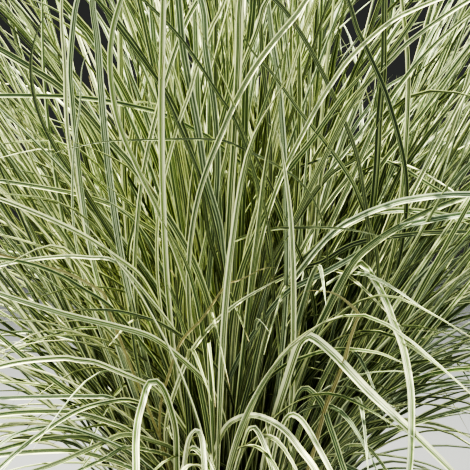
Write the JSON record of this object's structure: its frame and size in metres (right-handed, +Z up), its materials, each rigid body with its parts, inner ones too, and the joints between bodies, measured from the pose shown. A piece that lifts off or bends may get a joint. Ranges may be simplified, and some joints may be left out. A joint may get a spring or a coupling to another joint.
{
  "type": "potted ornamental grass",
  "caption": "Potted clump of variegated silver grass: narrow arching cream-edged green blades on leafy stems, in a plain round clay pot.",
  "frame": {"origin": "middle of the pot's underside", "axes": "+Z up along the pot's axis, +X to the right and +Y away from the viewer in the pictured view"},
  "size_m": [1.0914, 1.0806, 1.3048],
  "materials": {
    "clay": "unglazed fired clay",
    "compost": "moist crumbly compost",
    "leaf_green": "satin leaf",
    "leaf_cream": "satin leaf",
    "leaf_shade": "satin leaf",
    "leaf_silver": "satin leaf"
  },
  "bodies": {
    "root": {"pot": "clay", "compost": "compost", "stem_01": "leaf_green", "stem_02": "leaf_cream", "stem_03": "leaf_shade", "stem_04": "leaf_silver", "stem_05": "leaf_green", "stem_06": "leaf_cream", "stem_07": "leaf_shade", "stem_08": "leaf_silver", "stem_09": "leaf_green", "stem_10": "leaf_cream", "stem_11": "leaf_shade", "stem_12": "leaf_silver", "stem_13": "leaf_green", "stem_14": "leaf_cream", "stem_15": "leaf_shade", "stem_16": "leaf_silver", "stem_17": "leaf_green", "stem_18": "leaf_cream", "stem_19": "leaf_shade", "stem_20": "leaf_silver", "stem_21": "leaf_green", "stem_22": "leaf_cream", "stem_23": "leaf_shade", "stem_24": "leaf_silver", "stem_25": "leaf_green", "stem_26": "leaf_cream", "stem_27": "leaf_shade", "stem_28": "leaf_silver", "stem_29": "leaf_green", "stem_30": "leaf_cream", "stem_31": "leaf_shade", "stem_32": "leaf_silver", "stem_33": "leaf_green", "stem_34": "leaf_cream", "stem_35": "leaf_shade", "stem_36": "leaf_silver", "stem_37": "leaf_green", "stem_38": "leaf_cream", "stem_39": "leaf_shade", "stem_40": "leaf_silver", "stem_41": "leaf_green", "stem_42": "leaf_cream", "stem_43": "leaf_shade", "stem_44": "leaf_silver", "stem_45": "leaf_green", "stem_46": "leaf_cream", "stem_47": "leaf_shade", "stem_48": "leaf_silver", "stem_49": "leaf_green", "stem_50": "leaf_cream", "stem_51": "leaf_shade", "stem_52": "leaf_silver"}
  },
  "joints": []
}
